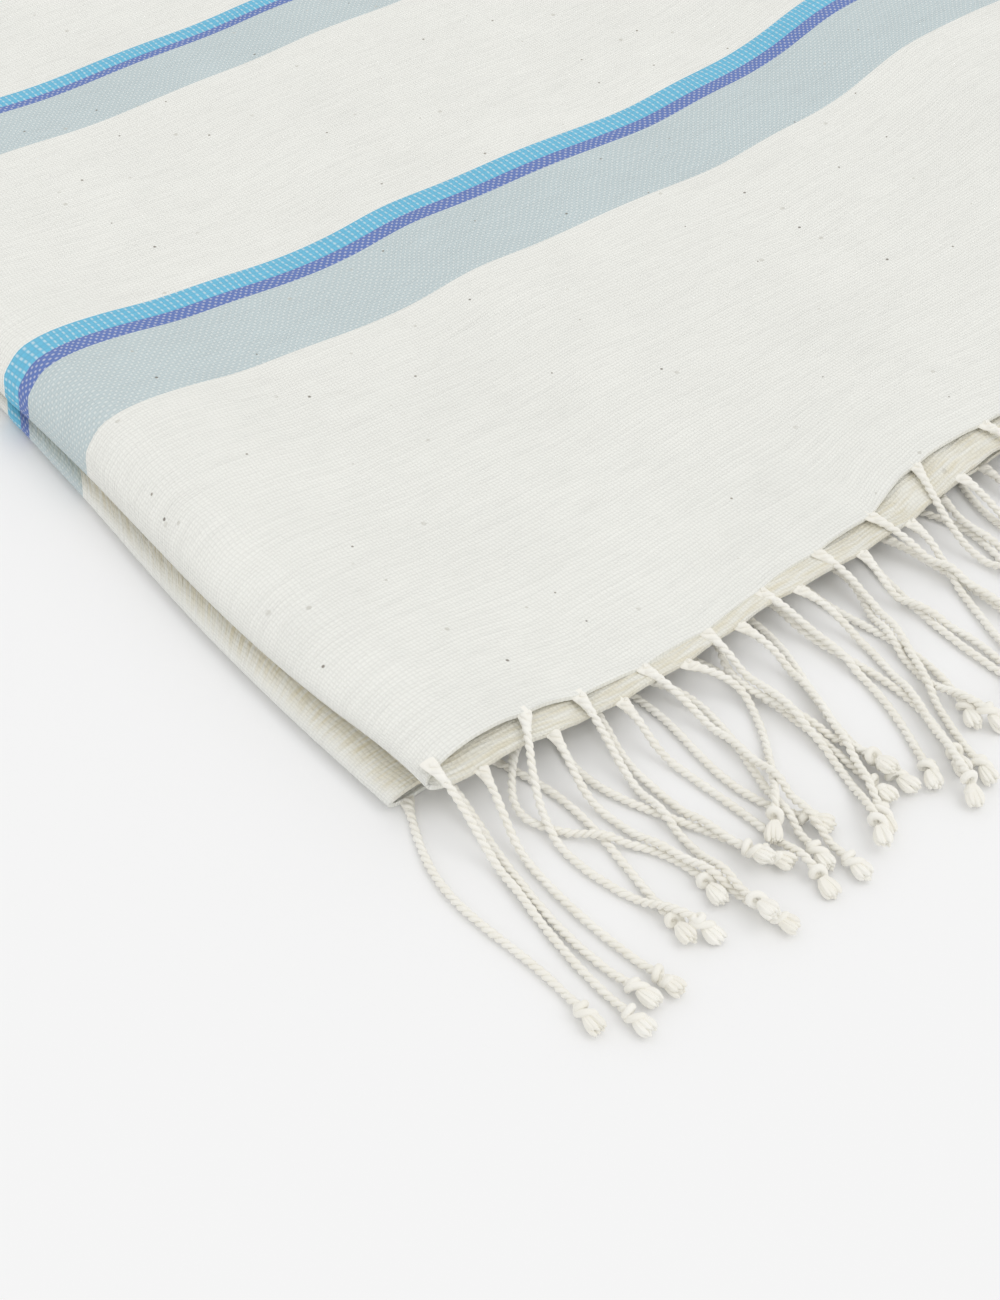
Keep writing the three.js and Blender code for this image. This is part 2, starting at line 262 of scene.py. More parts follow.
@dataclass(frozen=True)
class LoomedCotton:
    """Hand-loomed cotton in plain weave.

    To the eye it is dull. The holes of the weave are darkened as painted shade, so the crown of every thread
    stands lighter, the weft has long thick places and flecks of seed, and undyed warp shows as pale dots
    between the coloured weft. Where the folds and the inner hems lie in shade, a warm beige is painted in as
    shade. It reads each place on the flat mat, and how much of that painted shade it takes, from cloth_mm.
    """

    name: str
    weft: str
    warp: str = "F8F7F1"
    weft_pitch: float = 0.84  # from one thread to the next, as coarse as it looks; the cloth may be finer
    warp_pitch: float = 0.84
    warp_shows: float = 0.0  # how much of the undyed warp shows over a dyed weft
    corded: bool = False  # the same warp threads stay on top in every row, over a thick weft
    flecks: bool = True
    shade_tint: str = "EDE4CD"  # a warm beige painted in as shade, where the folds and the inner hems lie in shade
    relief: float = 0.15  # from the holes of the weave to the crowns
    slub_relief: float = 0.55  # how far a thick place stands up, as a share of the relief
    wander: float = 3.2  # the width over which a row strays
    wander_rate: float = 0.055  # how far the noise moves on in a millimetre
    slub_rate: tuple[float, float] = (0.06, 1.1)  # the same along the row, and across it
    streak_rate: tuple[float, float] = (0.14, 0.95)
    cloud_rate: float = 0.03  # for the places where the cloth is a little darker
    cloud_least: float = 0.97  # the tone there
    # painted shade in the holes of the weave, as a share of the thread's colour
    hole_shade: float = 0.925
    slub_tones: tuple[float, float] = (1.01, 0.965)  # of thin weft and of thick

    def material(self) -> bpy.types.Material:
        """Builds the finish.

        Returns:
            The material.
        """
        material = blank_material(self.name)
        tree = material.node_tree
        given = add_node(tree, "ShaderNodeAttribute", attribute_name="cloth_mm").outputs["Vector"]
        cloth = add_node(
            tree, "ShaderNodeVectorMath", {0: given, 1: (1.0, 1.0, 0.0)}, operation="MULTIPLY"
        ).outputs[0]
        # How much painted shade each place takes, carried in the z of cloth_mm.
        painted_shade = add_node(tree, "ShaderNodeSeparateXYZ", {0: given}).outputs["Z"]
        slubs = self.spun(tree, cloth, self.slub_rate, 0.42, 0.72, 0.0)
        made = self.woven(tree, cloth)
        height = add_node(
            tree,
            "ShaderNodeMath",
            {0: slubs, 1: self.slub_relief, 2: made["raised"]},
            operation="MULTIPLY_ADD",
        ).outputs[0]
        bump = add_node(
            tree, "ShaderNodeBump", {"Height": height, "Distance": self.relief * MM, "Strength": 0.85}
        )
        surface = add_node(
            tree,
            "ShaderNodeBsdfPrincipled",
            {
                "Base Color": self.threads(tree, cloth, painted_shade, made, slubs),
                "Roughness": 0.92,
                "IOR": 1.53,
                "Specular IOR Level": 0.18,
                "Sheen Weight": 0.14,
                "Sheen Roughness": 0.55,
                "Normal": bump.outputs[0],
            },
        )
        add_node(tree, "ShaderNodeOutputMaterial", {"Surface": surface.outputs[0]})
        return material

    def spun(
        self,
        tree: Tree,
        cloth: Socket,
        rate: tuple[float, float],
        low: float,
        high: float,
        least: float,
    ) -> Socket:
        """Draws what hand-spinning leaves in the weft, which runs along the rows.

        Args:
            tree: The material's node tree.
            cloth: The place on the flat mat.
            rate: How far the noise moves on in a millimetre, along the rows and across them.
            low: The noise where there is none of it.
            high: The noise where there is all of it.
            least: What the result keeps where there is none.

        Returns:
            How much of it there is.
        """
        stretched = add_node(
            tree, "ShaderNodeVectorMath", {0: cloth, 1: (*rate, 0.0)}, operation="MULTIPLY"
        )
        noise = add_node(
            tree, "ShaderNodeTexNoise", {"Vector": stretched.outputs[0], "Scale": 1.0, "Detail": 3.0}
        )
        return add_node(
            tree,
            "ShaderNodeMapRange",
            {"Value": noise.outputs["Fac"], "From Min": low, "From Max": high, "To Min": least},
        ).outputs["Result"]

    def woven(self, tree: Tree, cloth: Socket) -> dict[str, Socket]:
        """Works out the plain weave at each place.

        Args:
            tree: The material's node tree.
            cloth: The place on the flat mat.

        Returns:
            Sockets by name. raised is how high the surface stands in its cell of the weave, and dot is 1 on
            the crown of a warp thread that lies on top.
        """
        # A hand-thrown weft wanders a little, so the rows are never quite straight.
        wander = add_node(
            tree, "ShaderNodeTexNoise", {"Vector": cloth, "Scale": self.wander_rate, "Detail": 2.0}
        )
        centred = add_node(
            tree,
            "ShaderNodeVectorMath",
            {0: wander.outputs["Color"], 1: (0.5, 0.5, 0.5)},
            operation="SUBTRACT",
        )
        drift = add_node(
            tree, "ShaderNodeVectorMath", {0: centred.outputs[0], "Scale": self.wander}, operation="SCALE"
        )
        laid = add_node(tree, "ShaderNodeVectorMath", {0: cloth, 1: drift.outputs[0]}, operation="ADD")
        place = add_node(tree, "ShaderNodeSeparateXYZ", {0: laid.outputs[0]})
        made = {"x": place.outputs["X"], "y": place.outputs["Y"]}
        steps = (
            ("across", "DIVIDE", "x", self.warp_pitch),
            ("along", "DIVIDE", "y", self.weft_pitch),
            ("in warp thread", "FRACT", "across"),
            ("round warp thread", "MULTIPLY", "in warp thread", math.pi),
            ("warp crown", "SINE", "round warp thread"),
            ("in weft thread", "FRACT", "along"),
            ("round weft thread", "MULTIPLY", "in weft thread", math.pi),
            ("weft crown", "SINE", "round weft thread"),
            ("warp number", "FLOOR", "across"),
            ("weft number", "FLOOR", "along"),
            ("cell", "ADD", "warp number", 0.0 if self.corded else "weft number"),
            ("warp over", "PINGPONG", "cell", 1.0),
            ("weft ridge", "MULTIPLY_ADD", "warp crown", 0.5, 0.5),
            ("weft raised", "MULTIPLY", "weft crown", "weft ridge"),
            ("warp ridge", "MULTIPLY_ADD", "weft crown", 0.5, 0.5),
            ("warp raised", "MULTIPLY", "warp crown", "warp ridge"),
            ("crown", "MULTIPLY", "warp crown", "weft crown"),
            ("round dot", "POWER", "crown", 1.4),
            ("dot", "MULTIPLY", "warp over", "round dot"),
        )
        for name, operation, *given in steps:
            inputs = {slot: made.get(value, value) for slot, value in enumerate(given)}
            made[name] = add_node(tree, "ShaderNodeMath", inputs, operation=operation).outputs[0]
        made["raised"] = add_node(
            tree,
            "ShaderNodeMix",
            {"Factor": made["warp over"], "A": made["weft raised"], "B": made["warp raised"]},
        ).outputs["Result"]
        return made

    def threads(
        self,
        tree: Tree,
        cloth: Socket,
        painted_shade: Socket,
        made: dict[str, Socket],
        slubs: Socket,
    ) -> Socket:
        """Colours the threads.

        Args:
            tree: The material's node tree.
            cloth: The place on the flat mat.
            painted_shade: 1 where painted shade goes on in full, where the folds keep light off the cloth.
            made: The weave, as woven gives it.
            slubs: 1 where the weft is thick.

        Returns:
            The colour.
        """
        shown = add_node(
            tree, "ShaderNodeMath", {0: made["dot"], 1: self.warp_shows}, operation="MULTIPLY"
        ).outputs[0]
        thread = add_node(
            tree,
            "ShaderNodeMix",
            {"Factor": shown, "A": linear(self.weft), "B": linear(self.warp)},
            data_type="RGBA",
        ).outputs["Result"]
        # Painted shade: where the folds and inner hems lie in shade, a warm beige is multiplied in, broken
        # into streaks along the rows.
        streaks = self.spun(tree, cloth, self.streak_rate, 0.38, 0.66, 0.25)
        shaded_share = add_node(
            tree, "ShaderNodeMath", {0: painted_shade, 1: streaks}, operation="MULTIPLY"
        ).outputs[0]
        thread = add_node(
            tree,
            "ShaderNodeMix",
            {"Factor": shaded_share, "A": thread, "B": linear(self.shade_tint)},
            data_type="RGBA",
            blend_type="MULTIPLY",
        ).outputs["Result"]
        # Painted shade darkens the holes between threads, and the cloth is a little uneven from place to
        # place.
        cloud = add_node(
            tree, "ShaderNodeTexNoise", {"Vector": cloth, "Scale": self.cloud_rate, "Detail": 4.0}
        )
        thin, thick = self.slub_tones
        ranges = (
            (made["raised"], 0.0, 0.5, self.hole_shade, 1.0),
            (cloud.outputs["Fac"], 0.3, 0.7, self.cloud_least, 1.0),
            (slubs, 0.0, 1.0, thin, thick),
        )
        for value, low, high, least, most in ranges:
            tone = add_node(
                tree,
                "ShaderNodeMapRange",
                {"Value": value, "From Min": low, "From Max": high, "To Min": least, "To Max": most},
            ).outputs["Result"]
            thread = add_node(
                tree, "ShaderNodeVectorMath", {0: thread, "Scale": tone}, operation="SCALE"
            ).outputs[0]
        if self.flecks:
            for fleck in (SEED_HUSK, NEPS):
                thread = fleck.over(tree, cloth, thread)
        return thread


@dataclass(frozen=True)
class TwistedCotton:
    """Undyed cotton yarn, plied and twisted by hand.

    To the eye it is dull and soft-edged, with fine fibres that wind along each ply and faintly worn
    stretches. It reads places along and round the yarn from yarn_mm.
    """

    name: str = "hand_twisted_undyed_cotton"
    lit: str = "FBFAF5"
    worn: str = "F0ECE0"
    fibre: float = 0.16  # across one fibre bundle
    along_rate: float = 0.25  # how far the fibres' noise moves on in a millimetre of yarn
    patch_rate: float = 0.11  # the same for the worn stretches
    relief: float = 0.07

    def material(self) -> bpy.types.Material:
        """Builds the finish.

        Returns:
            The material.
        """
        material = blank_material(self.name)
        tree = material.node_tree
        yarn = add_node(tree, "ShaderNodeAttribute", attribute_name="yarn_mm").outputs["Vector"]
        # Fibres run almost along the ply, so the pattern is long one way and fine the other.
        combed = add_node(
            tree,
            "ShaderNodeVectorMath",
            {0: yarn, 1: (self.along_rate, 1 / self.fibre, 1.0)},
            operation="MULTIPLY",
        )
        fibres = add_node(
            tree, "ShaderNodeTexNoise", {"Vector": combed.outputs[0], "Scale": 1.0, "Detail": 3.0}
        )
        patches = add_node(
            tree, "ShaderNodeTexNoise", {"Vector": yarn, "Scale": self.patch_rate, "Detail": 2.0}
        )
        colour = add_node(
            tree,
            "ShaderNodeMix",
            {"Factor": patches.outputs["Fac"], "A": linear(self.worn), "B": linear(self.lit)},
            data_type="RGBA",
        ).outputs["Result"]
        bump = add_node(
            tree,
            "ShaderNodeBump",
            {"Height": fibres.outputs["Fac"], "Distance": self.relief * MM, "Strength": 0.8},
        )
        surface = add_node(
            tree,
            "ShaderNodeBsdfPrincipled",
            {
                "Base Color": colour,
                "Roughness": 0.9,
                "IOR": 1.53,
                "Specular IOR Level": 0.2,
                "Sheen Weight": 0.18,
                "Sheen Roughness": 0.5,
                "Normal": bump.outputs[0],
            },
        )
        add_node(tree, "ShaderNodeOutputMaterial", {"Surface": surface.outputs[0]})
        return material


@dataclass(frozen=True)
class MattPaper:
    """Seamless studio paper: matt and almost white, so that shadows on it stay soft."""

    name: str = "matt_seamless_paper"
    tone: str = "F5F5F5"

    def material(self) -> bpy.types.Material:
        """Builds the finish.

        Returns:
            The material.
        """
        material = blank_material(self.name)
        tree = material.node_tree
        surface = add_node(
            tree,
            "ShaderNodeBsdfPrincipled",
            {"Base Color": linear(self.tone), "Roughness": 1.0, "Specular IOR Level": 0.0},
        )
        add_node(tree, "ShaderNodeOutputMaterial", {"Surface": surface.outputs[0]})
        return material


class Weft(Enum):
    """The yarns that the bands are woven in, as the record's material slots name them."""

    CREAM = "cream"
    SAGE = "sage"
    INDIGO = "indigo"
    TURQUOISE = "turquoise"


WEAVES = {
    Weft.CREAM: LoomedCotton("hand_loomed_undyed_cotton", weft="F2F2EC"),
    Weft.SAGE: LoomedCotton("hand_loomed_sage_cotton", weft="C8D5D7", warp_shows=0.4),
    Weft.INDIGO: LoomedCotton("hand_loomed_indigo_cotton", weft="6880C0", warp_shows=0.5, flecks=False),
    Weft.TURQUOISE: LoomedCotton(
        "hand_loomed_turquoise_cotton",
        weft="6EBFDF",
        weft_pitch=1.5,
        warp_shows=0.5,
        corded=True,
        flecks=False,
    ),
}


# ----------------------------------------------------------------------------------------- the folded cloth


class Leaf(Enum):
    """The four leaves of the pile, from the floor up."""

    FLOOR = "floor_leaf"
    SECOND = "second_leaf"
    THIRD = "third_leaf"
    TOP = "top_leaf"


@dataclass(frozen=True)
class Lie:
    """How one leaf's fringe lies: a row for each cord, from the fold to the selvedge.

    A row holds root, end, bow, wave and reach: how far the root and the end are shifted along the hem from
    the cord's even place, its sideways bow in one curve, its sway in two, and its reach from the hem.
    """

    rows: tuple[tuple[float, float, float, float, float], ...]


LIES = {
    Leaf.FLOOR: Lie((
        (-6, -12, -6, -2, 65), (-4, -3, 4, 1, 61), (-5, 7, -4, -2, 60), (-5, 3, -2, 2, 58),
        (-6, -1, 4, 0, 61), (-5, -12, -3, 2, 62), (-6, -8, 3, -2, 58), (-5, -8, -4, 0, 64),
        (-6, -2, 3, 3, 60), (-5, -5, -4, -2, 65), (-6, -3, 3, 1, 59), (-5, -8, 4, -2, 63),
        (-6, -4, -3, 0, 66), (-5, -5, 3, 2, 60), (-6, -1, -3, -3, 64), (-5, -8, 4, 1, 61),
        (-6, -3, -4, 2, 63), (-5, 1, 3, -2, 65),
    )),
    Leaf.SECOND: Lie((
        (1, 0, -3, 1, 67), (0, 7, -4, -6, 58), (2, 3, -3, 0, 58), (-1, -5, 4, 2, 65),
        (1, 3, -3, -2, 57), (0, -2, 4, -2, 65), (1, -3, -4, 2, 62), (-1, 3, 4, 0, 59),
        (1, -6, 3, -3, 66), (-1, 2, -4, 2, 61), (1, -7, 4, 3, 65), (1, 5, -4, 0, 58),
        (0, -1, 5, -2, 62), (1, 6, -3, 2, 66), (-1, -6, 4, -2, 59), (1, 5, -5, 1, 64),
        (0, 1, 5, -3, 67), (1, 5, -4, 2, 58),
    )),
    Leaf.THIRD: Lie((
        (6, 5, -4, 0, 64), (6, 14, -2, -1, 67), (6, 8, 1, -1, 66), (6, -10, 8, 1, 50),
        (5, -7, 3, 1, 62), (5, -6, 4, 1, 68), (6, 1, 4, -3, 61), (4, -3, -3, 2, 66),
        (5, 5, 4, -1, 59), (6, -3, -4, 2, 64), (5, 6, -4, 1, 68), (6, -3, 3, 2, 57),
        (5, 4, 4, -3, 65), (5, -2, -3, 2, 62), (6, 6, -3, 1, 67), (5, -5, 4, -2, 60),
        (6, 3, 4, 3, 65), (5, -4, -4, 0, 62),
    )),
    Leaf.TOP: Lie((
        (-3, -5, -1, 1, 67), (3, 2, -10, -1, 60), (-1, -6, -2, 0, 64), (-2, -1, 3, 1, 67),
        (-2, -11, 3, -1, 64), (-2, -9, 5, 0, 60), (-2, -16, 1, 2, 66), (-3, 8, 4, 1, 62),
        (-2, 11, -3, -2, 63), (2, 8, 4, 2, 66), (-2, 2, -4, 2, 63), (-2, 8, 4, -3, 67),
        (-2, 9, -5, 1, 61), (2, 2, 3, 2, 66), (-2, 2, 5, -2, 62), (-2, 9, -4, 2, 67),
        (1, 10, -5, -1, 60), (-2, 9, 4, 1, 66),
    )),
}
CORDS_PER_LEAF = 18
CORD_PITCH = PILE_WIDTH / CORDS_PER_LEAF


def even_place(index: int) -> float:
    """The place along the hem that a cord would have if they were spaced evenly."""
    return PILE_LEFT + CORD_PITCH * (index + 0.5)


def root_places(leaf: Leaf) -> np.ndarray:
    """Where along the hem a leaf's cords are rooted."""
    return np.array([even_place(index) + row[0] for index, row in enumerate(LIES[leaf].rows)])


# How far each leaf's hem strays from its even line at places across the pile, to the front when negative.
HEM_SHIFTS: dict[Leaf, Stations] = {
    Leaf.FLOOR: ((-152, 0.0), (-120, -1.5), (-60, -3.0), (0, -1.0), (60, -2.6), (150, -0.5)),
    Leaf.SECOND: (
        (-152, 0.0), (-138, -3.0), (-110, -6.4), (-85, -7.2), (-60, -6.0), (-35, -8.2), (-10, -7.6),
        (10, -6.2), (40, -6.0), (80, -3.6), (150, -1.0),
    ),
    Leaf.THIRD: (
        (-148, -1.0), (-140, -3.6), (-125, -5.0), (-110, -6.4), (-85, -7.2), (-60, -6.0), (-40, -7.0),
        (-20, -6.8), (0, -4.6), (30, -4.0), (70, -2.0), (150, 0.0),
    ),
    Leaf.TOP: (
        (-148, -0.5), (-123, -0.4), (-106, -2.4), (-91, -3.4), (-75, -3.6), (-57, -1.8), (-42, -1.7),
        (-28, -1.7), (-13, 2.0), (8, 1.8), (30, 0.6), (60, -0.4), (100, 0.5), (150, 0.0),
    ),
}
# How much higher or lower than its even height the top leaf's hem lies at places across the pile.
TOP_HEM_DROOP: Stations = (
    (-148, 0.0), (-134, 0.0), (-122, -0.4), (-106, -2.0), (-91, -2.3), (-75, -2.5), (-57, -1.9), (-42, -1.5),
    (-28, -0.5), (-13, 1.0), (8, 1.4), (30, 0.2), (55, -0.8), (84, -0.4), (120, -1.6), (150, -0.8),
)
# How far the weft bows at distances inward from the side, beyond the few that each half's round fold sets.
WEFT_BOW: Stations = (
    (4.5, 3.0), (8, 5.0), (13.5, 6.0), (30, 5.4), (43, 3.4), (59, 2.0), (74, 0.4), (91, -0.6), (110, 0.2),
    (128, -0.7), (148, -1.9), (168, -3.0), (184, -4.5), (206, -3.6), (231, -2.0), (259, 2.4), (298, 4.0),
)


@dataclass(frozen=True)
class Half:
    """One half of the folded mat: two leaves joined by a round fold at the left.

    Places on it are given as across, from one selvedge over the fold to the other, and along, from its hem.
    """

    name: str
    body: str
    left: float  # the x that its left side keeps to
    hem: float  # the y that its hem keeps to
    outer: Leaf
    inner: Leaf
    fold_run: float  # how far the round fold reaches in from the left
    fold_arc: float  # the cloth in one half of the round
    fold_sag: float  # above 1, the round hangs towards the inner leaf
    side: Stations  # how far its left side strays from straight at distances from the hem
    fold_bow: float  # the bow of the weft where it turns round the fold
    shade_from: float  # the share of the round fold from where painted shade goes on, as the cloth turns out of the light

    def leaf_height(self, leaf: Leaf, x: np.ndarray, along: np.ndarray) -> np.ndarray:
        """The height of the middle of a leaf's cloth.

        Args:
            leaf: The leaf.
            x: Places across the pile.
            along: Distances from the hem.

        Returns:
            Heights above the floor.
        """
        lift = smoothstep(x, PILE_LEFT + 40, -PILE_LEFT)
        if leaf is Leaf.FLOOR:
            return 0.6 + 0.5 * lift * ripple(along / 31.0 + x / 47.0)
        if leaf is Leaf.SECOND:
            sink = 0.5 * smoothstep(x, -140, -90) + 1.3 * lift * ripple(along / 43.0 + 1.4)
            droop = 0.8 * hump(along, 10.0) * smoothstep(x, -135, -110)
            return 4.85 - sink - droop
        if leaf is Leaf.THIRD:
            rest = THIRD_LEAF_LEAST + (0.25 + 0.4 * lift) * ripple(x / 19.0 + along / 36.0 + 2.2)
            # Near its hem it clings to the leaf above, and its last picks hang over.
            clinging = self.top_height(x, along) - 1.35 - 1.5 * hump(along, 4.0)
            near = hump(along, 26.0) * (0.55 + 0.45 * smoothstep(x, -140, -110))
            # Its free hem is crumpled between the cords.
            crumples = 0.75 * ripple(x / 2.3 + 2.0 * np.sin(x / 17.0))
            crumpled = crumples * hump(along, 9.0) * smoothstep(x, -115, -40)
            return np.maximum(rest + np.maximum(clinging - rest, 0) * near - crumpled, THIRD_LEAF_LEAST)
        return self.top_height(x, along)

    def top_height(self, x: np.ndarray, along: np.ndarray) -> np.ndarray:
        """The height of the top leaf's cloth, which is lofty at the fold and lies in a few soft waves.

        Args:
            x: Places across the pile.
            along: Distances from the hem.

        Returns:
            Heights of the middle of the cloth above the floor.
        """
        loft = 12.5 - 3.4 * smoothstep(x, -143, -83) + 2.7 * hump(x - 112, 27)
        droop = through(TOP_HEM_DROOP, x) * hump(along, 30.0)
        waves = 0.32 * np.sin(x / 7.4 + along / 90.0) + 0.22 * np.sin(x / 16.0 - along / 37.0 + 1.0)
        away_from_fold = smoothstep(x, -132, -95) * (1 - 0.7 * smoothstep(x, 130, 150))
        # Between two cord roots the hem lifts a little, and dips where a cord gathers it.
        gathers = -0.15 * self.gathered(Leaf.TOP, x) * hump(along, 9.0)
        return loft + droop + waves * away_from_fold + gathers

    def gathered(self, leaf: Leaf, x: np.ndarray) -> np.ndarray:
        """How strongly the cord roots gather the hem.

        Args:
            leaf: The leaf whose hem it is.
            x: Places across the pile.

        Returns:
            From next to 0 midway between two roots to about 1 at a root.
        """
        return hump(np.asarray(x, float)[..., None] - root_places(leaf), 3.0).sum(axis=-1)

    def weft_bow(self, x: np.ndarray, along: np.ndarray) -> np.ndarray:
        """How far the weft bows from a straight row, as hand-beaten weft does.

        Args:
            x: Places across the pile.
            along: Distances from the hem.

        Returns:
            Shifts along the mat. There is none at the hem, and none at the fold across the mat.
        """
        inward = x - self.left - through(self.side, along)
        bow = through(((0, self.fold_bow), (1.5, self.fold_bow + 3), *WEFT_BOW), inward)
        away_from_hem = smoothstep(along, 8, 100) * (1 - 0.6 * smoothstep(along, 160, 235))
        return bow * away_from_hem * (1 - smoothstep(along, 330, 430))

    def place(self, across: np.ndarray, along: np.ndarray) -> np.ndarray:
        """Finds where the middle of the cloth lies.

        Args:
            across: Places from the outer leaf's selvedge, over the fold, to the inner leaf's. They run from 0
                to MAT_WIDTH.
            along: Distances from the hem.

        Returns:
            Points, on a new last axis.
        """
        flat = PILE_WIDTH - self.fold_arc
        turn = self.left + self.fold_run + through(self.side, along)
        reach = PILE_WIDTH - self.fold_run
        outer_edge = reach + 0.9 * np.sin(along / 61.0 + 0.6) - 0.6
        inner_edge = reach + 1.1 * np.sin(along / 83.0 + 2.0) - 1.6
        outer_x = turn + np.clip((flat - across) / flat, 0, 1) * outer_edge
        inner_x = turn + np.clip((across - (MAT_WIDTH - flat)) / flat, 0, 1) * inner_edge
        swing = math.pi * np.clip((across - flat) / (2 * self.fold_arc), 0, 1)
        towards_inner = (1 - np.cos(swing)) / 2
        x = np.where(across < PILE_WIDTH, outer_x, inner_x) - self.fold_run * np.sin(swing)
        outer_height = self.leaf_height(self.outer, outer_x, along)
        inner_height = self.leaf_height(self.inner, inner_x, along)
        in_fold = (swing > 0) & (swing < math.pi)
        share = (1 - towards_inner) ** self.fold_sag
        z = np.where(
            in_fold,
            inner_height + (outer_height - inner_height) * share,
            np.where(across < PILE_WIDTH, outer_height, inner_height),
        )
        at_hem = 1 - smoothstep(along, 0, 55)
        shift = (
            through(HEM_SHIFTS[self.outer], outer_x) * (1 - towards_inner)
            + through(HEM_SHIFTS[self.inner], inner_x) * towards_inner
        )
        gather = (
            self.gathered(self.outer, outer_x) * (1 - towards_inner)
            + self.gathered(self.inner, inner_x) * towards_inner
        )
        pull = -0.45 * gather * (1 - smoothstep(along, 0, 7))
        y = self.hem + along + self.weft_bow(x, along) + shift * at_hem + pull
        return np.stack([x, y, z], axis=-1)


LOWER = Half(
    name="lower",
    body="lower_half",
    left=-152.0,
    hem=-223.0,
    outer=Leaf.FLOOR,
    inner=Leaf.SECOND,
    fold_run=6.5,
    fold_arc=8.0,
    fold_sag=1.0,
    side=(
        (0, 0.2), (26, -1.0), (63, -1.3), (89, -0.4), (113, 1.0), (131, 1.7), (149, 2.4), (200, 2.2),
        (300, 0.6), (440, 0.0),
    ),
    fold_bow=-6.0,
    shade_from=0.68,
)
UPPER = Half(
    name="upper",
    body="upper_half",
    left=-148.0,
    hem=-227.0,
    outer=Leaf.TOP,
    inner=Leaf.THIRD,
    fold_run=14.0,
    fold_arc=15.0,
    fold_sag=1.5,
    side=(
        (0, 1.2), (14, 0.6), (29, -0.8), (47, -2.0), (67, -2.4), (90, -1.9), (117, -1.2), (138, -1.3),
        (152, -1.6), (220, -0.6), (300, 0.4), (440, 0.0),
    ),
    fold_bow=-2.5,
    shade_from=0.9,
)


@dataclass(frozen=True)
class Crease:
    """The fold across the mat at the back, where the lower half turns up and over into the upper half."""

    start: float = 219.5  # where the cloth leaves its leaf
    spread: float = 0.9  # how far the turn reaches back, as a share of its rise
    least: float = 0.25  # how far it reaches back at the least
    arc: float = 12.0  # about the length of cloth in the turn, for the weave

    def place(self, across: np.ndarray, swing: np.ndarray) -> np.ndarray:
        """Finds where the middle of the cloth lies in the turn.

        Args:
            across: Places from the outer leaves' selvedge to the inner leaves'.
            swing: From 0 at the lower half to pi at the upper half.

        Returns:
            Points, on a new last axis.
        """
        low = LOWER.place(across, np.full_like(across, self.start - LOWER.hem))
        high = UPPER.place(across, np.full_like(across, self.start - UPPER.hem))
        rise = (high[..., 2] - low[..., 2]) / 2
        towards_high = (1 - np.cos(swing)) / 2
        x = low[..., 0] + (high[..., 0] - low[..., 0]) * towards_high
        y = self.start + (rise * self.spread + self.least) * np.sin(swing)
        z = (low[..., 2] + high[..., 2]) / 2 - rise * np.cos(swing)
        return np.stack([x, y, z], axis=-1)


CREASE = Crease()


@dataclass
class Grid:
    """A patch of cloth before it is a mesh: its middle, its normals and its places on the flat mat."""

    middle: np.ndarray
    normals: np.ndarray
    flat: np.ndarray


def normals_of(
    low_across: np.ndarray, high_across: np.ndarray, low_along: np.ndarray, high_along: np.ndarray
) -> np.ndarray:
    """Works out normals from points a little to each side of a place.

    Args:
        low_across: The points on the side of the outer leaf's selvedge.
        high_across: The points on the side of the inner leaf's.
        low_along: The points nearer the hem.
        high_along: The points further from it.

    Returns:
        The normals, which point out of the folded upper half.
    """
    return -unit(np.cross(high_across - low_across, high_along - low_along))


@dataclass(frozen=True)
class Band:
    """A stretch of the mat that is woven with one weft."""

    name: str
    weft: Weft
    length: float
    row: float  # between rows of its mesh
    extra: float = 0.0  # how much thicker than the plain cloth its middle is


# From the hem to the centre field.
BANDS = (
    Band("hem_field", Weft.CREAM, 116.0, 4.8),
    Band("wide_sage_band", Weft.SAGE, 24.0, 3.0),
    Band("wide_indigo_band", Weft.INDIGO, 4.0, 0.8, 0.12),
    Band("wide_turquoise_band", Weft.TURQUOISE, 6.0, 0.75, 0.35),
    Band("middle_field", Weft.CREAM, 76.0, 5.2),
    Band("narrow_sage_band", Weft.SAGE, 17.5, 3.0),
    Band("narrow_indigo_band", Weft.INDIGO, 2.6, 0.65, 0.12),
    Band("narrow_turquoise_band", Weft.TURQUOISE, 4.6, 0.66, 0.35),
)


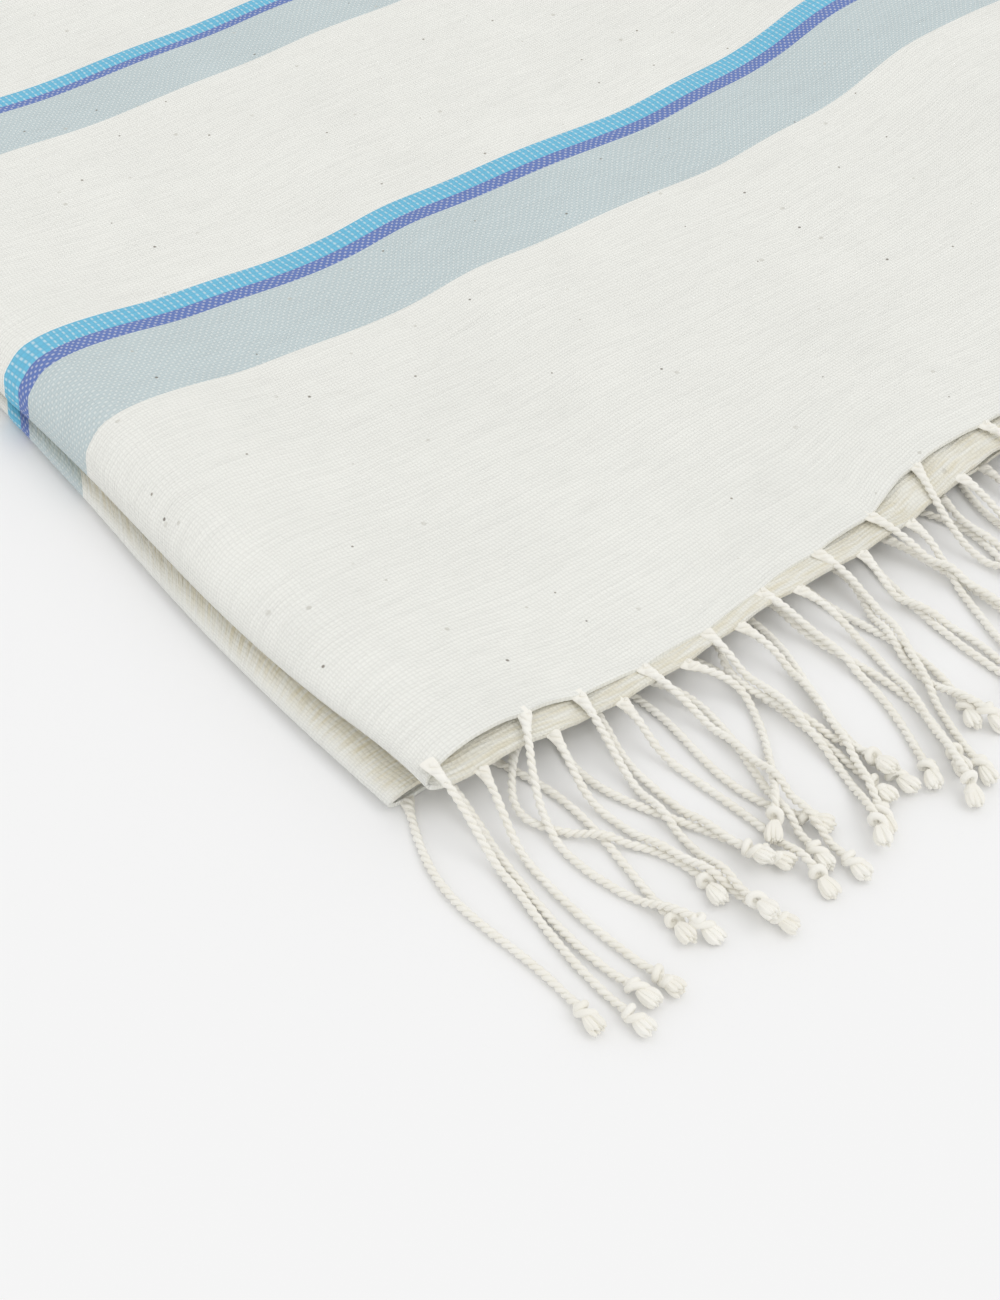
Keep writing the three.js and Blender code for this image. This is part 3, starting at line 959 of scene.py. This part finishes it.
@dataclass
class Cloth:
    """The woven mat: its cream fields in one piece over both folds, and its striped bands."""

    column: float = 3.2  # between columns of the mesh on a leaf
    hem_column: float = 2.0
    fold_columns: int = 22
    hem_row: float = 1.5  # between the close rows at the hem
    hem_reach: float = 12.0  # how far they go
    field_row: float = 5.2
    crease_rows: int = 16
    nudge: float = 0.02  # to each side, for the normals
    hem_shade: float = 0.7  # how much painted shade the two inner hems take
    hem_fade: tuple[float, float] = (10.0, 20.0)  # from the hem, where that painted shade fades out
    inner_fade: tuple[float, float] = (5.0, 26.0)  # in from the round fold, where its painted shade fades out

    def columns(self, half: Half, spacing: float) -> np.ndarray:
        """Spaces the columns of a half's mesh, which are closer in the round fold.

        Args:
            half: The half.
            spacing: The distance wanted between two columns on a leaf.

        Returns:
            Their places across.
        """
        flat = PILE_WIDTH - half.fold_arc
        count = round(flat / spacing)
        return np.concatenate([
            np.linspace(0, flat, count, endpoint=False),
            np.linspace(flat, MAT_WIDTH - flat, self.fold_columns, endpoint=False),
            np.linspace(MAT_WIDTH - flat, MAT_WIDTH, count + 1),
        ])

    def patch(self, half: Half, across: np.ndarray, along: np.ndarray) -> Grid:
        """Lays a patch of one half.

        Args:
            half: The half.
            across: Its columns.
            along: Its rows.

        Returns:
            The patch, with one row of the mesh for each place along.
        """
        s, v = np.meshgrid(across, along)
        turn = 1 if half is UPPER else -1
        fold = np.clip((s - PILE_WIDTH + half.fold_arc) / (2 * half.fold_arc), 0, 1)
        # Painted shade: a warm beige goes where the round fold turns under and on the inner hems, standing in
        # for their shade.
        painted_shade = smoothstep(fold, half.shade_from - 0.14, half.shade_from + 0.22)
        near, far = self.inner_fade
        painted_shade = painted_shade * (1 - smoothstep(s, PILE_WIDTH + near, PILE_WIDTH + far))
        at_hem = smoothstep(s, PILE_WIDTH, PILE_WIDTH + 12) * (1 - smoothstep(v, *self.hem_fade))
        painted_shade = np.maximum(painted_shade, at_hem * self.hem_shade)
        normals = turn * normals_of(
            half.place(s - self.nudge, v), half.place(s + self.nudge, v),
            half.place(s, v - self.nudge), half.place(s, v + self.nudge),
        )
        length = v if half is LOWER else MAT_LENGTH - v
        return Grid(half.place(s, v), normals, np.stack([s, length, painted_shade], axis=-1))

    def turn_patch(self, across: np.ndarray) -> Grid:
        """Lays the cloth in the crease at the back, without the rows that the leaves already have.

        Args:
            across: Its columns.

        Returns:
            The patch.
        """
        swings = np.linspace(0, math.pi, self.crease_rows + 1)[1:-1]
        s, swing = np.meshgrid(across, swings)
        normals = -normals_of(
            CREASE.place(s - self.nudge, swing), CREASE.place(s + self.nudge, swing),
            CREASE.place(s, swing - self.nudge / 4), CREASE.place(s, swing + self.nudge / 4),
        )
        length = MAT_LENGTH / 2 + CREASE.arc * (swing / math.pi - 0.5)
        # No painted shade in the crease at the back.
        painted_shade = np.zeros_like(s)
        return Grid(CREASE.place(s, swing), normals, np.stack([s, length, painted_shade], axis=-1))

    def centre_patch(self, start: float) -> Grid:
        """Lays the centre field, from one half's last band over the crease to the other's.

        Args:
            start: How far from the hem the bands end.

        Returns:
            The patch.
        """
        # Both halves take the same columns, so that the cloth runs through the crease unbroken.
        columns = self.columns(UPPER, self.column)
        low, high = (
            self.patch(half, columns, np.linspace(start, end, round((end - start) / self.field_row) + 1))
            for half, end in ((half, CREASE.start - half.hem) for half in (LOWER, UPPER))
        )
        turn = self.turn_patch(columns)
        return Grid(*(
            np.concatenate([getattr(low, name), getattr(turn, name), getattr(high, name)[::-1]])
            for name in ("middle", "normals", "flat")
        ))

    def slab(self, patch: Grid, extra: float = 0.0) -> Body:
        """Gives a patch its thickness, as a closed body.

        Args:
            patch: The middle of the cloth.
            extra: How much thicker than the plain cloth its middle rows are.

        Returns:
            The body, with places on the flat mat.
        """
        rows, columns = patch.middle.shape[:2]
        swell = np.sin(np.linspace(0, math.pi, rows)) ** 0.5 if extra else np.zeros(rows)
        half_thick = (CLOTH + extra * swell)[:, None, None] / 2
        top = (patch.middle + patch.normals * half_thick).reshape(-1, 3)
        bottom = (patch.middle - patch.normals * half_thick).reshape(-1, 3)
        count = rows * columns
        index = np.arange(count).reshape(rows, columns)
        a, b, c, d = index[:-1, :-1], index[:-1, 1:], index[1:, 1:], index[1:, :-1]
        upper = np.stack([a, b, c, d], axis=-1).reshape(-1, 4)
        lower = np.stack([d, c, b, a], axis=-1).reshape(-1, 4) + count
        rim = np.concatenate([index[0, :-1], index[:-1, -1], index[-1, :0:-1], index[:0:-1, 0]])
        after = np.roll(rim, -1)
        walls = np.stack([after, rim, rim + count, after + count], axis=-1)
        faces = np.concatenate([upper, lower, walls])
        flat = patch.flat.reshape(-1, 3)
        corners = [tuple(face) for face in faces.tolist()]
        return np.concatenate([top, bottom]), corners, np.concatenate([flat, flat])

    def build(self) -> list[bpy.types.Object]:
        """Makes the cream cloth and the bands.

        Returns:
            The cream cloth first, and then the bands.
        """
        finishes = {weft: weave.material() for weft, weave in WEAVES.items()}
        cream_parts, cream_nodes, striped = [], [], []
        start = 0.0
        for band in BANDS:
            end = start + band.length
            for half in (LOWER, UPPER):
                if start == 0.0:
                    columns = self.columns(half, self.hem_column)
                    count = round((end - self.hem_reach) / band.row) + 1
                    close = np.arange(0, self.hem_reach, self.hem_row)
                    rows = np.concatenate([close, np.linspace(self.hem_reach, end, count)])
                else:
                    columns = self.columns(half, self.column)
                    rows = np.linspace(start, end, round(band.length / band.row) + 1)
                slab = self.slab(self.patch(half, columns, rows), band.extra)
                if band.weft is Weft.CREAM:
                    cream_parts.append(slab)
                    cream_nodes.append(f"{half.name}_{band.name}")
                else:
                    striped.append((half, band, slab))
            start = end
        cream_parts.append(self.slab(self.centre_patch(start)))
        cream_nodes += [f"{half.name}_centre_field" for half in (LOWER, UPPER)]
        cream = make_piece("cream_cloth", cream_parts, finishes[Weft.CREAM], "cloth_mm")
        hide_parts(*cream_nodes)
        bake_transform(cream)
        pieces = [cream]
        for half, band, slab in striped:
            piece = make_piece(f"{half.name}_{band.name}_cloth", [slab], finishes[band.weft], "cloth_mm")
            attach(piece, half.body)
            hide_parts(f"{half.name}_{band.name}")
            pieces.append(piece)
        return pieces


def make_piece(
    name: str, parts: list[Body], material: bpy.types.Material, attribute: str
) -> bpy.types.Object:
    """Makes one mesh object from closed bodies.

    Args:
        name: The object's name.
        parts: The bodies.
        material: Its finish.
        attribute: The name that the finish reads their vectors by.

    Returns:
        The object.
    """
    points, faces, vectors = [], [], []
    count = 0
    for part_points, part_faces, part_vectors in parts:
        points.append(part_points)
        vectors.append(part_vectors)
        faces += [tuple(corner + count for corner in face) for face in part_faces]
        count += len(part_points)
    mesh = bpy.data.meshes.new(name)
    mesh.from_pydata((np.concatenate(points) * MM).tolist(), [], faces)
    layer = mesh.attributes.new(attribute, "FLOAT_VECTOR", "POINT")
    layer.data.foreach_set("vector", np.concatenate(vectors).astype(np.float32).ravel())
    mesh.polygons.foreach_set("use_smooth", np.ones(len(mesh.polygons), bool))
    mesh.set_sharp_from_angle(angle=SHARP)
    mesh.materials.append(material)
    mesh.update()
    piece = bpy.data.objects.new(name, mesh)
    bpy.context.scene.collection.objects.link(piece)
    LOG.info("%s: %d points, %d faces", name, len(mesh.vertices), len(mesh.polygons))
    return piece


# ----------------------------------------------------------------------------------------------- the fringe


@dataclass
class Track:
    """The middle line of one cord, from its root in the hem to its cut end."""

    points: np.ndarray
    radii: np.ndarray
    seed: int


@dataclass
class Spot:
    """Where a knot is tied, and the directions there."""

    centre: np.ndarray
    forward: np.ndarray
    side: np.ndarray
    up: np.ndarray

    def round(self, ahead: np.ndarray, angle: np.ndarray, wide: np.ndarray, high: np.ndarray) -> np.ndarray:
        """Lays a line that runs forward and winds round the spot.

        Args:
            ahead: How far ahead of the spot each of its points lies.
            angle: The angle round the yarn.
            wide: How far out it lies sideways.
            high: How far out it lies upwards.

        Returns:
            Its points.
        """
        return (
            self.centre
            + self.forward * ahead[:, None]
            + self.side * (np.cos(angle) * wide)[:, None]
            + self.up * (np.sin(angle) * high)[:, None]
        )


@dataclass
class Fringe:
    """The knotted cords of all four leaves."""

    stations: int = 64  # along a cord while it is laid
    rooted: int = 3  # of them stay where the hem holds them
    radius: float = 0.86
    club_radius: float = 1.6  # of the knot and the tuft, for laying cords over each other
    club_length: float = 7.5
    drop: float = 24.0  # the distance in which a cord comes down from its hem
    root_shift: float = -0.6
    root_reach: float = 26.0  # how far a cord still follows the shift of its hem
    rest: float = 0.12  # the air under a cord that lies on the floor
    air: float = 0.1  # and between two cords that cross
    steepest_climb: float = 0.5  # away from its hem, for each millimetre of run
    steepest_fall: float = 0.8
    lay: float = 3.5  # one full turn of the two plies
    ply_radius: float = 0.5
    ply_offset: float = 0.4
    ply_sides: int = 8
    ply_step: float = 0.42
    round_rate: float = 0.6  # how far the fibres' pattern moves on round the yarn in a radian
    fan_inside: float = 1.6  # how far a cord's root runs back into the cloth
    fan_beyond: float = 4.2
    fan_widths: tuple[float, float] = (1.7, 0.8)  # at the hem and at the cord
    fan_heights: tuple[float, float] = (0.5, 0.7)
    knot_back: float = 1.4  # from the knot's middle to where the tuft begins
    knot_turns: float = 1.9
    knot_radius: float = 1.1
    knot_half: float = 1.9  # half its length
    knot_slip: float = 0.9  # how far its turns slip over each other
    knot_yarn: float = 0.74
    tuft_length: float = 4.6
    tuft_radius: float = 2.05
    tuft_locks: int = 11
    tuft_flat: float = 0.8
    lock_radius: float = 0.62

    def track(self, half: Half, leaf: Leaf, index: int) -> Track:
        """Lays one cord before it meets any other.

        Args:
            half: The half that the leaf belongs to.
            leaf: The leaf.
            index: The cord's number, from the fold.

        Returns:
            The cord's middle line.
        """
        root, end, bow, wave, reach = LIES[leaf].rows[index]
        place = even_place(index)
        share = np.linspace(0, 1, self.stations)
        sway = bow * np.sin(math.pi * share) + wave * np.sin(TURN * share)
        x = place + root + (end - root) * share**2 + sway
        root_x = np.array(place + root)
        root_height = float(half.leaf_height(leaf, root_x, np.array(0.0)))
        shift = float(through(HEM_SHIFTS[leaf], root_x)) + self.root_shift
        near = 1 - smoothstep(share * reach, 0, self.root_reach)
        y = half.hem - reach * share + shift * near
        radii = np.where(share * reach > reach - self.club_length, self.club_radius, self.radius)
        fall = smoothstep(share * reach, 0, self.drop)
        z = root_height + (radii + self.rest - root_height) * fall
        seed = 100 * list(Leaf).index(leaf) + index
        return Track(np.stack([x, y, z], axis=-1), radii, seed)

    def settle(self, track: Track, laid: list[Track]) -> None:
        """Lays a cord on the ones that are down already. Where it crosses one, it rides over in a low hump.

        Args:
            track: The cord, whose heights are raised.
            laid: The cords that are down.
        """
        points = track.points
        first = self.rooted
        if laid:
            under = np.concatenate([other.points for other in laid])
            under_radii = np.concatenate([other.radii for other in laid])
            apart = track.radii[first:, None] + under_radii + self.air
            away = np.hypot(*(points[first:, None, axis] - under[:, axis] for axis in (0, 1)))
            over = under[:, 2] + np.sqrt(np.maximum(apart**2 - away**2, 0))
            over = np.where(away < apart, over, 0)
            points[first:, 2] = np.maximum(points[first:, 2], over.max(axis=1))
        run = np.abs(points[0, 1] - points[-1, 1]) / (self.stations - 1)
        for step in range(1, self.stations):
            points[step, 2] = max(points[step, 2], points[step - 1, 2] - run * self.steepest_fall)
        for step in range(self.stations - 2, first - 1, -1):
            points[step, 2] = max(points[step, 2], points[step + 1, 2] - run * self.steepest_climb)
        smooth = points[:, 2].copy()
        for _ in range(3):
            smooth[1:-1] = (smooth[:-2] + 2 * smooth[1:-1] + smooth[2:]) / 4
        points[:, 2] = smooth
        laid.append(track)

    def along(self, line: np.ndarray, step: float) -> tuple[np.ndarray, np.ndarray]:
        """Reads a line at even steps.

        Args:
            line: Its points.
            step: The distance wanted between two readings.

        Returns:
            The points read and their distances along the line.
        """
        length = distances(line)[-1]
        at = np.linspace(0, length, max(int(length / step), 2) + 1)
        return read(line, at), at

    def frames(self, line: np.ndarray) -> tuple[np.ndarray, np.ndarray, np.ndarray]:
        """Finds directions along a line that never stands upright.

        Args:
            line: Its points.

        Returns:
            The forward, sideways and upward directions at each.
        """
        forward = unit(np.gradient(line, axis=0))
        sideways = unit(np.cross(forward, np.array([0.0, 0.0, 1.0])))
        return forward, sideways, np.cross(sideways, forward)

    def tube(
        self,
        line: np.ndarray,
        radii: np.ndarray,
        sides: int,
        strand: float,
        stretch: np.ndarray | float = 1.0,
    ) -> Body:
        """Makes a closed tube round a line, with frames carried along it without twist.

        Args:
            line: The middle points.
            radii: The tube's radius at each.
            sides: How many sides it has.
            strand: A number that sets this strand's fibres apart from the others'.
            stretch: The tube's width as a share of its height.

        Returns:
            The body, with places along and round the yarn.
        """
        forward = unit(np.gradient(line, axis=0))
        side = np.empty_like(line)
        side[0] = unit(np.cross(forward[0], [0.0, 0.0, 1.0]))
        for step in range(1, len(line)):
            carried = side[step - 1] - forward[step] * np.dot(side[step - 1], forward[step])
            side[step] = unit(carried)
        up = np.cross(side, forward)
        angles = np.arange(sides) * TURN / sides
        wide = radii * stretch
        rings = (
            line[:, None]
            + side[:, None] * (np.cos(angles)[None, :, None] * wide[:, None, None])
            + up[:, None] * (np.sin(angles)[None, :, None] * radii[:, None, None])
        )
        shape = rings.shape[:2]
        places = np.stack([
            np.broadcast_to(distances(line)[:, None], shape),
            np.broadcast_to(np.abs(angles - math.pi)[None] * self.round_rate, shape),
            np.full(shape, strand),
        ], axis=-1)
        count = len(line)
        faces = []
        for ring in range(count - 1):
            for corner in range(sides):
                after = (corner + 1) % sides
                low, high = ring * sides, (ring + 1) * sides
                faces.append((low + corner, high + corner, high + after, low + after))
        faces.append(tuple(range(sides)))
        faces.append(tuple((count - 1) * sides + corner for corner in reversed(range(sides))))
        return rings.reshape(-1, 3), faces, places.reshape(-1, 3)

    def root_fan(self, line: np.ndarray, strand: float) -> Body:
        """Makes the warp ends that leave the hem side by side and draw together into the cord.

        Args:
            line: The cord's middle points.
            strand: The number that sets its fibres apart.

        Returns:
            The body.
        """
        share = np.linspace(0, 1, 9)
        ahead = share * (self.fan_inside + self.fan_beyond)
        points = read(line, np.clip(ahead - self.fan_inside, 0, None))
        points[:, 1] += np.clip(self.fan_inside - ahead, 0, None)
        wide, narrow = self.fan_widths
        low, high = self.fan_heights
        width = wide + (narrow - wide) * smoothstep(share, 0.1, 0.95)
        height = low + (high - low) * smoothstep(share, 0.1, 0.8)
        points[:, 2] = np.maximum(points[:, 2], height + ABOVE_FLOOR)
        return self.tube(points, height, 14, strand, width / height)

    def cord(self, track: Track) -> list[Body]:
        """Builds a cord: the fan at its root, its two plies, its knot and its tuft.

        Args:
            track: The cord's middle line.

        Returns:
            The bodies it is made of.
        """
        draw = np.random.default_rng(track.seed)
        line, at = self.along(track.points, self.ply_step)
        knot_at = at[-1] - self.tuft_length - self.knot_back
        forward, side, up = self.frames(line)
        run = at < knot_at
        phase = draw.uniform(0, TURN)
        lay = self.lay * draw.uniform(0.92, 1.08)
        bodies = [self.root_fan(line, track.seed)]
        tight = self.ply_offset * (1 + 0.9 * (1 - smoothstep(at, 0.5, 5)))
        for ply in range(2):
            angle = TURN * at / lay + math.pi * ply + phase
            across, above = ((turned(angle) * tight)[:, None] for turned in (np.cos, np.sin))
            centre = line + side * across + up * above
            uneven = 1 + 0.06 * np.sin(at * 0.9 + draw.uniform(0, TURN)) + 0.05 * np.sin(at * 2.3 + phase)
            radii = self.ply_radius * uneven
            centre[:, 2] = np.maximum(centre[:, 2], radii + ABOVE_FLOOR)
            bodies.append(self.tube(centre[run], radii[run], self.ply_sides, track.seed + 0.37 * ply))
        middle = int(np.searchsorted(at, knot_at))
        spot = Spot(line[middle], forward[middle], side[middle], up[middle])
        return [*bodies, self.knot(spot, track.seed, draw), *self.tuft(spot, track.seed, draw)]

    def knot(self, spot: Spot, strand: float, draw: np.random.Generator) -> Body:
        """Ties the overhand knot: the cord wound round itself, out of its own line and back into it.

        Args:
            spot: Where it is tied.
            strand: The number that sets its fibres apart.
            draw: The random numbers of this cord.

        Returns:
            The body.
        """
        share = np.linspace(0, 1, 46)
        angle = TURN * self.knot_turns * share + draw.uniform(0, TURN)
        swell = smoothstep(share, 0, 0.16) * (1 - smoothstep(share, 0.84, 1))
        out = self.knot_radius * swell
        slip = self.knot_slip * np.sin(TURN * share * 1.5)
        line = spot.round(-self.knot_half + 2 * self.knot_half * share + slip, angle, out, out)
        radii = np.full(len(share), self.knot_yarn) * (0.85 + 0.15 * swell)
        line[:, 2] = np.maximum(line[:, 2], self.knot_yarn + self.rest)
        return self.tube(line, radii, 9, strand + 0.71)

    def tuft(self, spot: Spot, strand: float, draw: np.random.Generator) -> list[Body]:
        """Opens the cut end beyond the knot into a soft brush.

        Args:
            spot: Where the knot is tied.
            strand: The number that sets its fibres apart.
            draw: The random numbers of this cord.

        Returns:
            A body for each lock of yarn.
        """
        bodies = []
        count = self.tuft_locks
        share = np.linspace(0, 1, 8)
        for lock in range(count):
            angle = TURN * lock / count * 1.618 * 2 + draw.uniform(-0.3, 0.3)
            outward = math.sqrt((lock + 0.5) / count) * (self.tuft_radius - 0.55)
            length = self.tuft_length * draw.uniform(0.82, 1.0)
            spread = outward * (0.35 + 0.65 * np.sin(share * math.pi * 0.62))
            line = spot.round(1.0 + share * length, angle, spread, spread * self.tuft_flat)
            bulge = 0.8 + 0.35 * np.sin(share * math.pi)
            radii = self.lock_radius * bulge * (1 - 0.55 * smoothstep(share, 0.8, 1))
            line[:, 2] = np.maximum(line[:, 2], radii + 0.02)
            bodies.append(self.tube(line, radii, 7, strand + 0.05 * lock))
        return bodies

    def build(self) -> list[bpy.types.Object]:
        """Makes one piece for each leaf's fringe.

        Returns:
            The pieces, from the floor up.
        """
        finish = TwistedCotton().material()
        laid: list[Track] = []
        pieces = []
        for half, leaf in (
            (LOWER, Leaf.FLOOR), (LOWER, Leaf.SECOND), (UPPER, Leaf.THIRD), (UPPER, Leaf.TOP)
        ):
            bodies = []
            for index in range(CORDS_PER_LEAF):
                track = self.track(half, leaf, index)
                self.settle(track, laid)
                bodies += self.cord(track)
            piece = make_piece(f"{leaf.value}_fringe", bodies, finish, "yarn_mm")
            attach(piece, half.body)
            nodes = [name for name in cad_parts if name.startswith(f"{leaf.value}_cords_")]
            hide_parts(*nodes)
            pieces.append(piece)
        return pieces


# ----------------------------------------------------------------------------------------------- the studio


@dataclass
class Studio:
    """A pale floor, soft light and the camera."""

    camera_place: tuple[float, float, float] = (-0.304, -0.4445, 0.328)
    camera_turn: tuple[float, float, float] = (43.4, 0.0, -39.1)
    lens: float = 61.06
    floor_size: float = 60.0  # in metres, as the camera's place is
    floor_drop: float = 0.0002  # so that it never shares a plane with the yarn
    sky: float = 0.89
    sun: float = 0.42
    sun_spread: float = 40.0  # the width of the softbox as the mat sees it, in degrees
    sun_turn: tuple[float, float, float] = (24.0, 22.0, 0.0)

    def build(self) -> None:
        """Sets up the camera, the floor and the lights."""
        scene = bpy.context.scene
        scene.view_settings.view_transform = "Standard"
        lens = bpy.data.cameras.new("camera")
        lens.lens = self.lens
        lens.clip_start = 0.01
        camera = bpy.data.objects.new("camera", lens)
        camera.location = self.camera_place
        camera.rotation_euler = [math.radians(angle) for angle in self.camera_turn]
        scene.collection.objects.link(camera)
        scene.camera = camera
        self.floor()
        world = bpy.data.worlds.new("soft_sky")
        world.use_nodes = True
        background = world.node_tree.nodes["Background"]
        background.inputs["Color"].default_value = (1.0, 1.0, 1.0, 1.0)
        background.inputs["Strength"].default_value = self.sky
        scene.world = world
        light = bpy.data.lights.new("key_softbox", "SUN")
        light.energy = self.sun
        light.angle = math.radians(self.sun_spread)
        key = bpy.data.objects.new("key_softbox", light)
        key.rotation_euler = [math.radians(angle) for angle in self.sun_turn]
        scene.collection.objects.link(key)

    def floor(self) -> None:
        """Lays the paper that the mat lies on."""
        half = self.floor_size / 2
        mesh = bpy.data.meshes.new("studio_floor")
        corners = [(-half, -half), (half, -half), (half, half), (-half, half)]
        mesh.from_pydata([(x, y, -self.floor_drop) for x, y in corners], [], [(0, 1, 2, 3)])
        mesh.materials.append(MattPaper().material())
        floor = bpy.data.objects.new("studio_floor", mesh)
        bpy.context.scene.collection.objects.link(floor)


def main() -> None:
    """Builds the studio, the cloth and the fringe."""
    logging.basicConfig(level=logging.INFO, format="%(name)s %(message)s")
    Studio().build()
    cloth = Cloth().build()
    fringe = Fringe().build()


if __name__ == "__main__":
    main()
